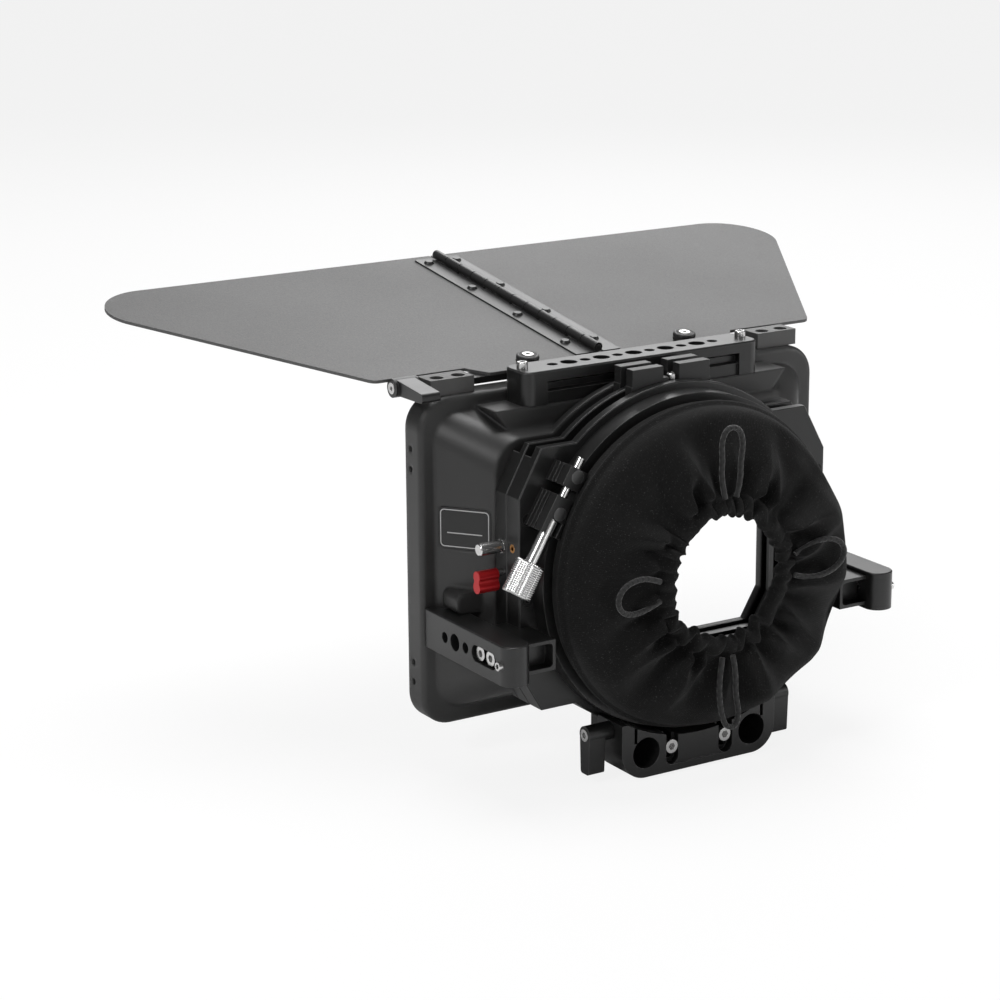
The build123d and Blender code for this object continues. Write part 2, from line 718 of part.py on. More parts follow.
with BuildPart() as flag_carrier:
    with BuildSketch(flag_plane.offset(carrier_low)):
        with Locations((0, carrier_rear)):
            Rectangle(2 * carrier_half, carrier_front - carrier_rear, align=(Align.CENTER, Align.MIN))
        with Locations((-thumb_x, 0)):
            Circle(m4 + fit, mode=Mode.SUBTRACT)
        # the right hole is a slot, so that the folding half can lift off its screw
        with Locations((thumb_x + 0.5, 0)):
            SlotOverall(6.0, 4.6, mode=Mode.SUBTRACT)
    extrude(amount=sheet_low - carrier_low)
    with BuildSketch(side_plane(trunnion_end)):
        with Locations((pivot_y, pivot_z)):
            Circle(trunnion)
    extrude(amount=-carrier_half + 1 - trunnion_end)
    with BuildSketch(side_plane(trunnion_end)):
        with Locations((pivot_y, pivot_z)):
            Circle(pivot_thread)
    extrude(amount=6, mode=Mode.SUBTRACT)
    with BuildSketch(side_plane(carrier_half - 1)):
        with Locations((pivot_y, pivot_z)):
            Circle(trunnion)
    extrude(amount=block_outer - carrier_half)
save(flag_carrier, "flag_carrier")

for (name, side), front_half in zip(sides, flag_front_half):
    rivet_spots = [(hinge_x + side * rivet_x, y) for y in rivet_y]
    with BuildPart() as flag_half:
        with BuildSketch(flag_plane.offset(sheet_low)) as flag_sketch:
            Polygon(
                (hinge_x + side * 0.4, tab_rear), (side * tab_half, tab_rear),
                (side * (tab_half + 8), flag_rear_edge), (side * flag_rear_half, flag_rear_edge),
                (side * front_half, flag_front_edge), (hinge_x + side * 0.4, flag_front_edge),
                align=None,
            )
            corners = flag_sketch.vertices().sort_by(Axis.X, reverse=side > 0)
            fillet(corners[0], 27)
            corners = flag_sketch.vertices().sort_by_distance((side * flag_rear_half, flag_rear_edge, 0))
            fillet(corners[0], 5)
            with Locations((side * thumb_x, 0)):
                Circle(m4 + 0.2 if side < 0 else m4 + fit, mode=Mode.SUBTRACT)
            with Locations(*rivet_spots):
                Circle(rivet_radius, mode=Mode.SUBTRACT)
        extrude(amount=sheet_thick)
    save(flag_half, f"flag_{name}")

    with BuildPart() as hinge_leaf:
        with BuildSketch(flag_plane.offset(sheet_top)):
            Polygon(
                (hinge_x + side * 2.9, hinge_start), (hinge_x + side * leaf_width, hinge_start),
                (hinge_x + side * leaf_width, hinge_start + hinge_length),
                (hinge_x + side * 2.9, hinge_start + hinge_length), align=None,
            )
            with Locations(*rivet_spots):
                Circle(rivet_radius, mode=Mode.SUBTRACT)
        extrude(amount=leaf_thick)
        for i in range(0 if side < 0 else 1, knuckles, 2):
            knuckle_start = hinge_start + i * pitch + knuckle_gap / 2
            length = pitch - knuckle_gap
            # web from the leaf up to its knuckle
            with BuildSketch(flag_plane.offset(sheet_top)):
                with Locations((hinge_x + side * 1.9, knuckle_start + length / 2)):
                    Rectangle(2.4, length)
            extrude(amount=leaf_thick)
            knuckle_plane = Plane(
                origin=flag_plane.from_local_coords((hinge_x, knuckle_start, hinge_height)),
                x_dir=(1, 0, 0),
                z_dir=flag_plane.y_dir,
            )
            with BuildSketch(knuckle_plane):
                Circle(knuckle_radius)
            extrude(amount=length)
        pin_plane = Plane(
            origin=flag_plane.from_local_coords((hinge_x, hinge_start - 1, hinge_height)),
            x_dir=(1, 0, 0),
            z_dir=flag_plane.y_dir,
        )
        with BuildSketch(pin_plane):
            Circle(pin_radius if side < 0 else pin_radius + fit)
        extrude(amount=hinge_length + 2, mode=Mode.SUBTRACT)
    save(hinge_leaf, f"hinge_leaf_{name}")

    with BuildPart() as rivets:
        with BuildSketch(flag_plane.offset(sheet_low)):
            with Locations(*rivet_spots):
                Circle(rivet_radius)
        extrude(amount=sheet_thick + leaf_thick)
        with BuildSketch(flag_plane.offset(sheet_top + leaf_thick)):
            with Locations(*rivet_spots):
                Circle(rivet_head)
        extrude(amount=rivet_height, taper=28)
    save(rivets, f"rivets_{name}")

    # Captive thumbscrews that hold the flag down on its carrier.
    with BuildPart() as thumb_knob:
        with BuildSketch(flag_plane.offset(sheet_top + thumb_base)):
            with Locations((side * thumb_x, 0)):
                Circle(thumb_radius)
        extrude(amount=thumb_height)
        chamfer(thumb_knob.edges().filter_by(GeomType.CIRCLE), 0.6)
        with BuildSketch(flag_plane.offset(sheet_top + thumb_base + thumb_height)):
            with Locations((side * thumb_x, 0)):
                Circle(thumb_head + 0.1)
        extrude(amount=-thumb_recess, mode=Mode.SUBTRACT)
        with BuildSketch(flag_plane.offset(sheet_top + thumb_base)):
            with Locations((side * thumb_x, 0)):
                Circle(m4)
        extrude(amount=thumb_height, mode=Mode.SUBTRACT)
    save(thumb_knob, f"thumb_knob_{name}")

    with BuildPart() as thumb_screw:
        with BuildSketch(flag_plane.offset(carrier_low + 0.4)):
            with Locations((side * thumb_x, 0)):
                Circle(m4)
        extrude(amount=sheet_top + thumb_floor + 0.3 - carrier_low - 0.4)
        with BuildSketch(flag_plane.offset(sheet_top + thumb_floor)):
            with Locations((side * thumb_x, 0)):
                Circle(thumb_head)
        extrude(amount=thumb_recess + 0.3)
        with BuildSketch(flag_plane.offset(sheet_top + thumb_floor + thumb_recess + 0.3)):
            with Locations((side * thumb_x, 0)):
                RegularPolygon(socket_small, 6)
        extrude(amount=-1.4, mode=Mode.SUBTRACT)
    save(thumb_screw, f"thumb_screw_{name}")

    with BuildPart() as flag_block:
        with BuildSketch(side_plane(side * block_inner)):
            with Locations(((block_rear + pivot_y) / 2, pivot_z)):
                Rectangle(pivot_y - block_rear, 2 * (pivot_z - rim_top))
            with Locations((pivot_y, pivot_z)):
                Circle(pivot_z - rim_top)
                Circle(trunnion + fit, mode=Mode.SUBTRACT)
        extrude(amount=side * (block_outer - block_inner))
        with BuildSketch(Plane.XY.offset(rim_top)):
            with Locations(*[(side * x, block_screw_y) for x in block_screws_x]):
                Circle(m3)
        extrude(amount=10, mode=Mode.SUBTRACT)
        with BuildSketch(Plane.XY.offset(2 * pivot_z - rim_top)):
            with Locations(*[(side * x, block_screw_y) for x in block_screws_x]):
                Circle(3.2)
        extrude(amount=-3, mode=Mode.SUBTRACT)
    save(flag_block, f"flag_block_{name}")

with BuildPart() as block_screws:
    with BuildSketch(Plane.XY.offset(rim_top - rim_wall)):
        with Locations(*[(s * x, block_screw_y) for s in (-1, 1) for x in block_screws_x]):
            Circle(m3)
    extrude(amount=rim_wall + 5)
    with BuildSketch(Plane.XY.offset(2 * pivot_z - rim_top - 3)):
        with Locations(*[(s * x, block_screw_y) for s in (-1, 1) for x in block_screws_x]):
            Circle(2.8)
    extrude(amount=1.8)
    with BuildSketch(Plane.XY.offset(2 * pivot_z - rim_top - 1.2)):
        with Locations(*[(s * x, block_screw_y) for s in (-1, 1) for x in block_screws_x]):
            RegularPolygon(socket_mid, 6)
    extrude(amount=-1.2, mode=Mode.SUBTRACT)
save(block_screws, "block_screws")

hinge_first = flag_plane.from_local_coords((hinge_x, hinge_start, hinge_height))
with BuildPart() as hinge_pin:
    with BuildSketch(Plane(origin=hinge_first, x_dir=(1, 0, 0), z_dir=flag_plane.y_dir)):
        Circle(pin_radius)
    extrude(amount=hinge_length)
save(hinge_pin, "hinge_pin")

lever_tip = pivot_y - 25
with BuildPart() as flag_lever:
    with BuildSketch(side_plane(lever_outer)):
        with Locations((pivot_y, pivot_z)):
            Circle(4.4)
    extrude(amount=lever_inner - lever_outer)
    with BuildSketch(side_plane(lever_outer + 1.4)) as lever_sketch:
        Polygon(
            (pivot_y, pivot_z - 3.2), (pivot_y, pivot_z + 4.2), (lever_tip, pivot_z + 1.6),
            (lever_tip, pivot_z - 2.6), align=None,
        )
        fillet(lever_sketch.vertices().group_by(Axis.X)[0], 1.6)
    extrude(amount=9.6)
    with BuildSketch(side_plane(trunnion_end - 0.2)):
        with Locations((pivot_y, pivot_z)):
            Circle(trunnion + fit)
    extrude(amount=12, mode=Mode.SUBTRACT)
    with BuildSketch(side_plane(lever_outer)):
        with Locations((pivot_y, pivot_z)):
            Circle(2.7)
    extrude(amount=2, mode=Mode.SUBTRACT)
save(flag_lever, "flag_lever")

with BuildPart() as flag_lever_screw:
    with BuildSketch(side_plane(lever_outer - 0.4)):
        with Locations((pivot_y, pivot_z)):
            Circle(2.7)
    extrude(amount=2.2)
    with BuildSketch(side_plane(lever_outer - 0.4)):
        with Locations((pivot_y, pivot_z)):
            RegularPolygon(socket_small, 6)
    extrude(amount=1.4, mode=Mode.SUBTRACT)
    with BuildSketch(side_plane(trunnion_end - 0.2)):
        with Locations((pivot_y, pivot_z)):
            Circle(pivot_thread - fit)
    extrude(amount=5.6)
save(flag_lever_screw, "flag_lever_screw")

# Side bars on arms beside the stages.
for name, side in sides:
    with BuildPart() as side_bar:
        with BuildSketch(Plane.XY.offset(side_low)) as bar_sketch:
            Polygon(
                (side * side_outer, side_front), (side * (side_outer - 4.7), side_front),
                (side * side_inner, 31.4), (side * side_inner, side_back), (side * side_outer, side_back),
                align=None,
            )
            fillet(bar_sketch.vertices().group_by(Axis.Y)[0], 6.8)
        extrude(amount=side_high - side_low)
        chamfer(side_bar.faces().sort_by(Axis.Z)[-1].edges(), 0.5)
        for hole_y, thread in side_holes:
            with BuildSketch(side_plane(side * side_outer)):
                with Locations((hole_y, side_mid)):
                    Circle(thread / 2)
            extrude(amount=-side * (side_outer - side_inner), mode=Mode.SUBTRACT)
        slot_mid = (slot_front + slot_rear) / 2
        with BuildSketch(side_plane(side * side_outer)):
            with Locations((slot_mid, side_mid)):
                SlotOverall(slot_front - slot_rear, slot_width)
        extrude(amount=-side * slot_depth_x, mode=Mode.SUBTRACT)
        with BuildSketch(side_plane(side * side_outer)):
            with Locations((slot_mid, side_mid)):
                SlotOverall(slot_front - slot_rear - 3, slot_floor_width)
        extrude(amount=-side * (side_outer - side_inner), mode=Mode.SUBTRACT)
        with BuildSketch(side_plane(side * side_outer)):
            with Locations((set_screw_y, side_mid)):
                Circle(m4)
        extrude(amount=-side * 8, mode=Mode.SUBTRACT)
    save(side_bar, f"side_bar_{name}")

    with BuildPart() as side_arm:
        with BuildSketch(Plane.XY.offset(arm_low)):
            Polygon(
                (side * arm_inner, arm_rear), (side * side_inner, arm_rear), (side * side_inner, arm_front),
                (side * cheek_x, arm_front), (side * cheek_x, rear_stage_rear),
                (side * arm_inner, rear_stage_rear), align=None,
            )
        extrude(amount=arm_high - arm_low)
        with BuildSketch(frontal(arm_rear)):
            with Locations((side * (side_inner - 6), (arm_low + arm_high) / 2)):
                RectangleRounded(16, arm_high - arm_low - 3.2, 2)
        extrude(amount=-6.5, mode=Mode.SUBTRACT)
        with BuildSketch(side_plane(side * side_inner)):
            with Locations(*[(y, side_mid) for y in bolt_places]):
                Circle(m4)
        extrude(amount=-side * bolt_reach_in, mode=Mode.SUBTRACT)
    save(side_arm, f"side_arm_{name}")

with BuildPart() as side_bar_screws:
    for side in (-1, 1):
        with BuildSketch(side_plane(side * (side_outer - slot_depth_x))):
            with Locations(*[(y, side_mid) for y in bolt_places]):
                Circle(bolt_head)
        extrude(amount=side * (slot_depth_x - bolt_recess))
        with BuildSketch(side_plane(side * (side_outer - bolt_recess))):
            with Locations(*[(y, side_mid) for y in bolt_places]):
                RegularPolygon(socket_large, 6)
        extrude(amount=-side * 2.4, mode=Mode.SUBTRACT)
        with BuildSketch(side_plane(side * (side_inner - bolt_reach_in))):
            with Locations(*[(y, side_mid) for y in bolt_places]):
                Circle(m4)
        extrude(amount=side * (side_outer - slot_depth_x - side_inner + bolt_reach_in))
save(side_bar_screws, "side_bar_screws")

with BuildPart() as side_set_screws:
    for side in (-1, 1):
        with BuildSketch(side_plane(side * (side_outer - 8))):
            with Locations((set_screw_y, side_mid)):
                Circle(m4)
        extrude(amount=side * 9.6)
        with BuildSketch(side_plane(side * (side_outer + 1.6))):
            with Locations((set_screw_y, side_mid)):
                RegularPolygon(socket_small, 6)
        extrude(amount=-side * 2, mode=Mode.SUBTRACT)
save(side_set_screws, "side_set_screws")

# Sprung plunger and red lock in the front stage's left cheek.
bush_end = -slot_half - 0.4
bush_face = -cheek_x - 0.8
spring_start = -84.5
spring_room = 2.7
plunger_radius = 1.6
plunger_end = -98.6
plunger_shoulder = -87.4
shaft_end = -98.0
lock_outer = -100.2
with BuildPart() as plunger_bush:
    with BuildSketch(side_plane(bush_face)):
        with Locations((plunger_y, plunger_z)):
            Circle(bush_radius)
    extrude(amount=bush_end - bush_face)
    with BuildSketch(side_plane(bush_face)):
        with Locations((plunger_y, plunger_z)):
            Circle(plunger_radius + fit)
    extrude(amount=bush_end - bush_face, mode=Mode.SUBTRACT)
    with BuildSketch(side_plane(spring_start)):
        with Locations((plunger_y, plunger_z)):
            Circle(spring_room)
    extrude(amount=bush_end - spring_start, mode=Mode.SUBTRACT)
save(plunger_bush, "plunger_bush")

with BuildPart() as plunger_pin:
    with BuildSketch(side_plane(plunger_end)):
        with Locations((plunger_y, plunger_z)):
            Circle(3.0)
    extrude(amount=plunger_shoulder - plunger_end + 0.2)
    chamfer(plunger_pin.edges().filter_by(GeomType.CIRCLE), 0.5)
    with BuildSketch(side_plane(plunger_shoulder)):
        with Locations((plunger_y, plunger_z)):
            Circle(plunger_radius)
    extrude(amount=bush_end - plunger_shoulder)
save(plunger_pin, "plunger_pin")

with BuildPart() as plunger_spring:
    with BuildLine() as coil:
        Helix(
            pitch=1.3, height=5.2, radius=2.2,
            center=(spring_start + 0.5, plunger_y, plunger_z), direction=(1, 0, 0),
        )
    with BuildSketch(Plane(origin=coil.line @ 0, z_dir=coil.line % 0)):
        Circle(0.3)
    sweep(path=coil.line, is_frenet=True)
save(plunger_spring, "plunger_spring")

with BuildPart() as lock_shaft:
    with BuildSketch(side_plane(shaft_end)):
        with Locations((lock_y, lock_z)):
            Circle(lock_shaft_radius)
    extrude(amount=bush_end - shaft_end)
save(lock_shaft, "lock_shaft")

with BuildPart() as lock_knob:
    with BuildSketch(side_plane(lock_outer)):
        with Locations((lock_y, lock_z - 0.3)):
            Circle(2.7)
        with Locations((lock_y, lock_z - 5.3)):
            Circle(2.9)
        with Locations((lock_y, lock_z - 2.9)):
            Rectangle(4.0, 4.6)
    extrude(amount=10.6)
    with BuildSketch(side_plane(shaft_end)):
        with Locations((lock_y, lock_z)):
            Circle(lock_shaft_radius)
    extrude(amount=10, mode=Mode.SUBTRACT)
save(lock_knob, "lock_knob")

# Rod clamp: takes two 15 mm rods, and the bracket slides on it for height.
with BuildPart() as rod_clamp:
    with BuildSketch(frontal(clamp_front)) as clamp_sketch:
        Polygon(
            (-clamp_half, clamp_high), (-clamp_half, clamp_low), (clamp_half, clamp_low),
            (clamp_half, clamp_high), align=None,
        )
        fillet(clamp_sketch.vertices().group_by(Axis.Y)[0], 13)
        Circle(ring_outer + 1, mode=Mode.SUBTRACT)
        with Locations((-rod_x, rod_z), (rod_x, rod_z)):
            Circle(rod_radius, mode=Mode.SUBTRACT)
        for side in (-1, 1):
            with Locations((side * slit_x, clamp_high)):
                Rectangle(slit_width, 20, mode=Mode.SUBTRACT)
            with Locations((side * height_x, -91.6)):
                Rectangle(4.6, 20, align=(Align.CENTER, Align.MIN), mode=Mode.SUBTRACT)
    extrude(amount=clamp_front - clamp_rear)
    for side in (-1, 1):
        with BuildSketch(frontal(screw_seat)):
            with Locations((side * height_x, rod_z - 4.9)):
                Circle(3.7)
                Rectangle(7.4, 20, align=(Align.CENTER, Align.MIN))
        extrude(amount=screw_seat - clamp_rear, mode=Mode.SUBTRACT)
        with BuildSketch(side_plane(side * clamp_half)):
            with Locations((lever_y, lever_z)):
                Circle(stud_radius + fit)
        extrude(amount=-side * 14, mode=Mode.SUBTRACT)
    with BuildSketch(frontal(clamp_rear + 0.7)):
        with Locations((0, rod_z - 8.6)):
            Rectangle(2 * height_x, 20, align=(Align.CENTER, Align.MIN))
    extrude(amount=0.7, mode=Mode.SUBTRACT)
save(rod_clamp, "rod_clamp")

with BuildPart() as rod_bracket:
    with BuildSketch(frontal(front_stage_rear)) as bracket_sketch:
        Polygon((-40, -60), (-40, -93), (40, -93), (40, -60), align=None)
        fillet(bracket_sketch.vertices().group_by(Axis.Y)[0], 8)
        Circle(stage_radius, mode=Mode.SUBTRACT)
        with Locations((-height_x, rod_z), (height_x, rod_z)):
            Circle(m4, mode=Mode.SUBTRACT)
    extrude(amount=front_stage_rear - rear_stage_rear)
save(rod_bracket, "rod_bracket")

height_head = 3.6
with BuildPart() as height_screws:
    with BuildSketch(frontal(screw_seat - 0.1)):
        with Locations((-height_x, rod_z), (height_x, rod_z)):
            Circle(3.3)
    extrude(amount=height_head)
    with BuildSketch(frontal(screw_seat - 0.1 - height_head)):
        with Locations((-height_x, rod_z), (height_x, rod_z)):
            RegularPolygon(socket_large, 6)
    extrude(amount=-2.2, mode=Mode.SUBTRACT)
    with BuildSketch(frontal(front_stage_rear - 1)):
        with Locations((-height_x, rod_z), (height_x, rod_z)):
            Circle(m4 - 0.02)
    extrude(amount=front_stage_rear - 1 - screw_seat + 0.1)
save(height_screws, "height_screws")

for name, side in sides:
    with BuildPart() as rod_lever:
        with BuildSketch(side_plane(side * lever_outer_x)):
            with Locations((lever_y, lever_z)):
                Circle(4.3)
        extrude(amount=-side * 13.2)
        with BuildSketch(side_plane(side * lever_outer_x)) as arm_sketch:
            Polygon(
                (lever_y - 4.1, lever_z), (lever_y - 3.4, lever_z - lever_length),
                (lever_y + 3.4, lever_z - lever_length), (lever_y + 4.1, lever_z), align=None,
            )
            fillet(arm_sketch.vertices().group_by(Axis.Y)[0], 1.5)
        extrude(amount=-side * 8.6)
        with BuildSketch(side_plane(side * lever_outer_x)):
            with Locations((lever_y, lever_z)):
                Circle(stud_radius)
        extrude(amount=-side * 14, mode=Mode.SUBTRACT)
        with BuildSketch(side_plane(side * lever_outer_x)):
            with Locations((lever_y, lever_z)):
                Circle(lever_head)
        extrude(amount=-side * 2.2, mode=Mode.SUBTRACT)
    save(rod_lever, f"rod_lever_{name}")

    with BuildPart() as rod_stud:
        with BuildSketch(side_plane(side * (lever_outer_x + 0.4))):
            with Locations((lever_y, lever_z)):
                Circle(lever_head)
        extrude(amount=-side * 2.6)
        with BuildSketch(side_plane(side * (lever_outer_x + 0.4))):
            with Locations((lever_y, lever_z)):
                RegularPolygon(socket_mid, 6)
        extrude(amount=-side * 1.6, mode=Mode.SUBTRACT)
        with BuildSketch(side_plane(side * (lever_outer_x - 2))):
            with Locations((lever_y, lever_z)):
                Circle(stud_radius)
        extrude(amount=-side * (lever_outer_x - 2 - stud_end))
    save(rod_stud, f"rod_stud_{name}")
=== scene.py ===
import json
import math
import random
import bpy
from mathutils import Matrix, Vector


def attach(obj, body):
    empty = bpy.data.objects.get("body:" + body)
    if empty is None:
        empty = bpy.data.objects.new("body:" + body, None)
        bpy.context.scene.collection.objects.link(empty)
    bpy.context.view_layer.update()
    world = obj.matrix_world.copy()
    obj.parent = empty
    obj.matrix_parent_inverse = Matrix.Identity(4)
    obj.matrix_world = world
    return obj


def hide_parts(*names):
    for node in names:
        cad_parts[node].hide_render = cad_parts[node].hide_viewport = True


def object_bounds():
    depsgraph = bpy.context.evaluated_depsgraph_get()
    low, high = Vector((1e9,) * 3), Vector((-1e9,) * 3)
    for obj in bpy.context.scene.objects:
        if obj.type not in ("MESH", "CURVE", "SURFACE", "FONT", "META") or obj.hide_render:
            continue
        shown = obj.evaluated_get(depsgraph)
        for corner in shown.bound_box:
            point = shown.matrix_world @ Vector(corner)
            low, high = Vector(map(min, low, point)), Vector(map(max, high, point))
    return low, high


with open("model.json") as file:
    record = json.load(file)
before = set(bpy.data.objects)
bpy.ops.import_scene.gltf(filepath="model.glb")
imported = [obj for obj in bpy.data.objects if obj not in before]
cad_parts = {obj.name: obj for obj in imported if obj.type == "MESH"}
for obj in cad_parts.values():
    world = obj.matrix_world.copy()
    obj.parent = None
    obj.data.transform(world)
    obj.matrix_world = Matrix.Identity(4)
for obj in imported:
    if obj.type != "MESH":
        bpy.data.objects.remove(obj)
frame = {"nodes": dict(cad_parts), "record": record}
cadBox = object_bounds()
nodes = frame["nodes"]
mm = 0.001
ops = bpy.ops


view = {
    "place": (-0.7287, -1.0240, 0.3769),
    "right": (0.8502, -0.5266, -0.0064),
    "up": (0.1464, 0.2247, 0.9634),
    "lens": 101.4,
}
studio = {
    "floorGap": 1.5 * mm,
    "floorHalf": 6.0,
    "sky": 0.2,
    "floorGlow": 0.86,
    "lamps": (   # name, place, size, watts
        ("topLamp", (0.05, 0.3, 1.35), 1.0, 17.0),
        ("backLamp", (0.85, 1.25, 0.95), 1.1, 9.5),
        ("leftLamp", (-1.2, -0.4, 0.8), 0.3, 6.0),
        ("cameraSideLamp", (-0.5, -1.5, 0.9), 0.5, 0.8),
        ("rightLamp", (1.25, -0.9, 0.35), 0.7, 5.5),
        ("lowLamp", (-0.1, -1.6, 0.02), 0.5, 1.6),
    ),
}


def makeCamera():
    data = bpy.data.cameras.new("sceneCamera")
    data.lens = view["lens"]
    data.sensor_width = 36
    data.clip_end = 30
    camera = bpy.data.objects.new("sceneCamera", data)
    bpy.context.scene.collection.objects.link(camera)
    right = Vector(view["right"]).normalized()
    up = Vector(view["up"])
    up = (up - right * up.dot(right)).normalized()
    turn = Matrix((right, up, right.cross(up))).transposed()
    camera.matrix_world = Matrix.Translation(view["place"]) @ turn.to_4x4()
    bpy.context.scene.camera = camera


def makeLamps():
    target = (cadBox[0] + cadBox[1]) / 2
    for name, place, size, watts in studio["lamps"]:
        data = bpy.data.lights.new(name, "AREA")
        data.shape = "DISK"
        data.size = size
        data.energy = watts
        lamp = bpy.data.objects.new(name, data)
        lamp.location = place
        lamp.rotation_euler = (target - Vector(place)).to_track_quat("-Z", "Y").to_euler()
        bpy.context.scene.collection.objects.link(lamp)


def makeSky():
    world = bpy.data.worlds.new("studioSky")
    bpy.context.scene.world = world
    world.use_nodes = True
    tree = world.node_tree
    backdrop = tree.nodes["Background"]
    backdrop.inputs["Color"].default_value = (1, 1, 1, 1)
    glow = tree.nodes.new("ShaderNodeBackground")
    glow.inputs["Strength"].default_value = studio["sky"]
    path = tree.nodes.new("ShaderNodeLightPath")
    pick = tree.nodes.new("ShaderNodeMixShader")
    tree.links.new(path.outputs["Is Camera Ray"], pick.inputs[0])
    tree.links.new(glow.outputs[0], pick.inputs[1])
    tree.links.new(backdrop.outputs[0], pick.inputs[2])
    tree.links.new(pick.outputs[0], tree.nodes["World Output"].inputs["Surface"])


def makeFloor():
    ops.mesh.primitive_plane_add(size=2 * studio["floorHalf"])
    floor = bpy.context.object
    floor.name = "studioFloor"
    floor.location.z = cadBox[0].z - studio["floorGap"]
    paint = bpy.data.materials.new("floorPaint")
    paint.use_nodes = True
    tree = paint.node_tree
    shader = tree.nodes["Principled BSDF"]
    shader.inputs["Base Color"].default_value = (0.93, 0.93, 0.93, 1)
    shader.inputs["Roughness"].default_value = 0.8
    shader.inputs["Specular IOR Level"].default_value = 0.2
    # the sweep's own glow is for the eye only, so it doesn't light the object from below
    glow = tree.nodes.new("ShaderNodeEmission")
    path = tree.nodes.new("ShaderNodeLightPath")
    share = tree.nodes.new("ShaderNodeMath")
    share.operation = "MULTIPLY"
    share.inputs[1].default_value = studio["floorGlow"]
    pick = tree.nodes.new("ShaderNodeMixShader")
    tree.links.new(path.outputs["Is Camera Ray"], share.inputs[0])
    tree.links.new(share.outputs[0], pick.inputs[0])
    tree.links.new(shader.outputs[0], pick.inputs[1])
    tree.links.new(glow.outputs[0], pick.inputs[2])
    tree.links.new(pick.outputs[0], tree.nodes["Material Output"].inputs["Surface"])
    floor.data.materials.append(paint)


class Value:
    # one socket in a material, so that sums can be written as sums
    def __init__(self, graph, socket):
        self.graph = graph
        self.socket = socket

    def sum(self, operation, first, second=0.0):
        return self.graph.node("ShaderNodeMath", {"operation": operation}, {0: first, 1: second})

    def __add__(self, other):
        return self.sum("ADD", self, other)

    def __radd__(self, other):
        return self.sum("ADD", other, self)

    def __sub__(self, other):
        return self.sum("SUBTRACT", self, other)

    def __rsub__(self, other):
        return self.sum("SUBTRACT", other, self)

    def __mul__(self, other):
        return self.sum("MULTIPLY", self, other)

    def __rmul__(self, other):
        return self.sum("MULTIPLY", other, self)


class Graph:
    # a material and its nodes; fixed holds what is the same all over the surface
    def __init__(self, name, fixed):
        self.material = bpy.data.materials.new(name)
        self.material.use_nodes = True
        self.tree = self.material.node_tree
        self.shader = self.tree.nodes["Principled BSDF"]
        for socket, value in fixed.items():
            self.shader.inputs[socket].default_value = value

    def node(self, kind, settings=None, sockets=None, out=0):
        made = self.tree.nodes.new(kind)
        for key, value in (settings or {}).items():
            if key == "stops":
                self.setStops(made.color_ramp, value)
            else:
                setattr(made, key, value)
        for key, value in (sockets or {}).items():
            if isinstance(value, Value):
                self.tree.links.new(value.socket, made.inputs[key])
            else:
                made.inputs[key].default_value = value
        return Value(self, made.outputs[out])

    def setStops(self, ramp, stops):
        while len(ramp.elements) < len(stops):
            ramp.elements.new(1.0)
        for element, (place, shade) in zip(ramp.elements, stops):
            element.position = place
            element.color = (shade, shade, shade, 1)

    def coords(self, which="Object"):
        return self.node("ShaderNodeTexCoord", out=which)

    def noise(self, place, scale, detail=3.0, roughness=0.55):
        return self.node("ShaderNodeTexNoise", None, {
            "Vector": place, "Scale": scale, "Detail": detail, "Roughness": roughness})

    def ramp(self, value, stops):
        return self.node("ShaderNodeValToRGB", {"stops": stops}, {"Fac": value})

    def blend(self, mask, first, second):
        return self.node("ShaderNodeMix", {"data_type": "RGBA"}, {0: mask, 6: first, 7: second}, out=2)

    def bump(self, height, strength, distance, normal=None):
        sockets = {"Height": height, "Strength": strength, "Distance": distance}
        if normal is not None:
            sockets["Normal"] = normal
        return self.node("ShaderNodeBump", None, sockets)

    def feed(self, socket, value):
        self.tree.links.new(value.socket, self.shader.inputs[socket])


def grey(level, warmth=0.0):
    return (level * (1 + warmth), level, level * (1 - warmth), 1.0)


